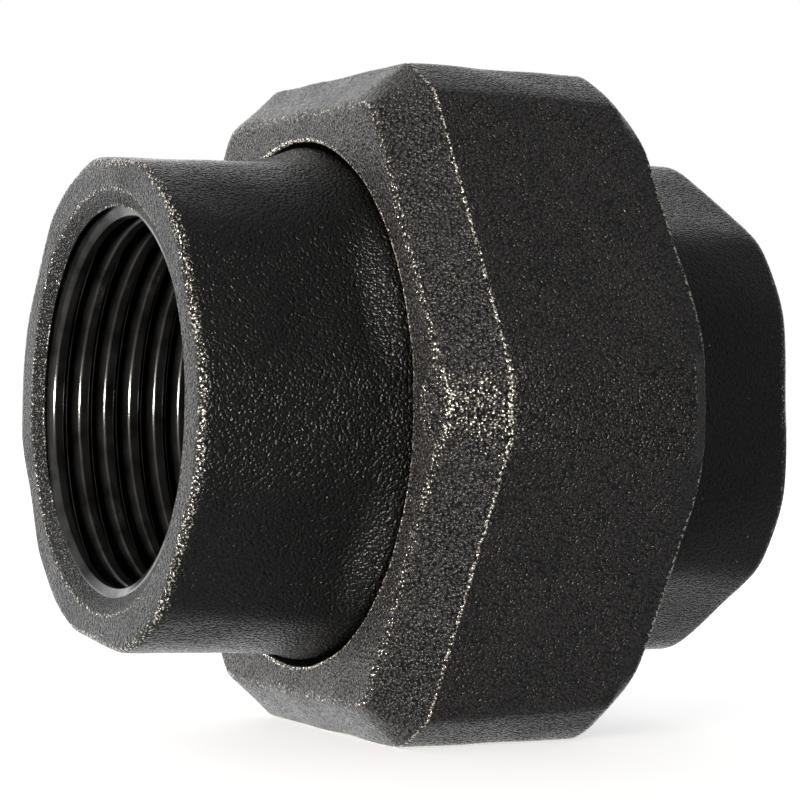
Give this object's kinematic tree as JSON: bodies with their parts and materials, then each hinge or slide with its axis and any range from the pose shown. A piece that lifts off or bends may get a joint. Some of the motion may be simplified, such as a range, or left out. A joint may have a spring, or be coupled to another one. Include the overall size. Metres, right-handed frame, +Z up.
{
  "type": "pipe union",
  "caption": "Straight pipe union with female pipe threads at both ends and a hexagonal nut that draws the two ends together on a flat gasket.",
  "frame": {"origin": "on the pipe axis, halfway between the two end faces", "axes": "+X along the pipe axis from the tail piece to the thread end; +Z up, square to the nut's upper flat; the nut's corners point along Y"},
  "size_m": [0.0544, 0.0612, 0.0556],
  "materials": {
    "cast_iron_black": "black heat-treated casting skin with a fine pebbled grain; machined threads bare and oiled",
    "gasket_sheet": "grey-green fibre gasket sheet, matt"
  },
  "bodies": {
    "thread_end": {"thread_end": "cast_iron_black", "gasket": "gasket_sheet"},
    "tail_piece": {"tail_piece": "cast_iron_black"},
    "union_nut": {"union_nut": "cast_iron_black"}
  },
  "joints": [
    {"name": "tail_draw", "type": "slide", "parent": "thread_end", "child": "tail_piece", "axis": [-1, 0, 0], "range_m": [0, 0.00924]},
    {"name": "nut_turn", "type": "hinge", "parent": "tail_piece", "child": "union_nut", "pos_m": [0, 0, 0], "axis": [-1, 0, 0], "range_deg": [0, 1440]}
  ],
  "couplings": [
    {"joint": "tail_draw", "follows": "nut_turn", "m_per_rad": 0.0003675}
  ]
}
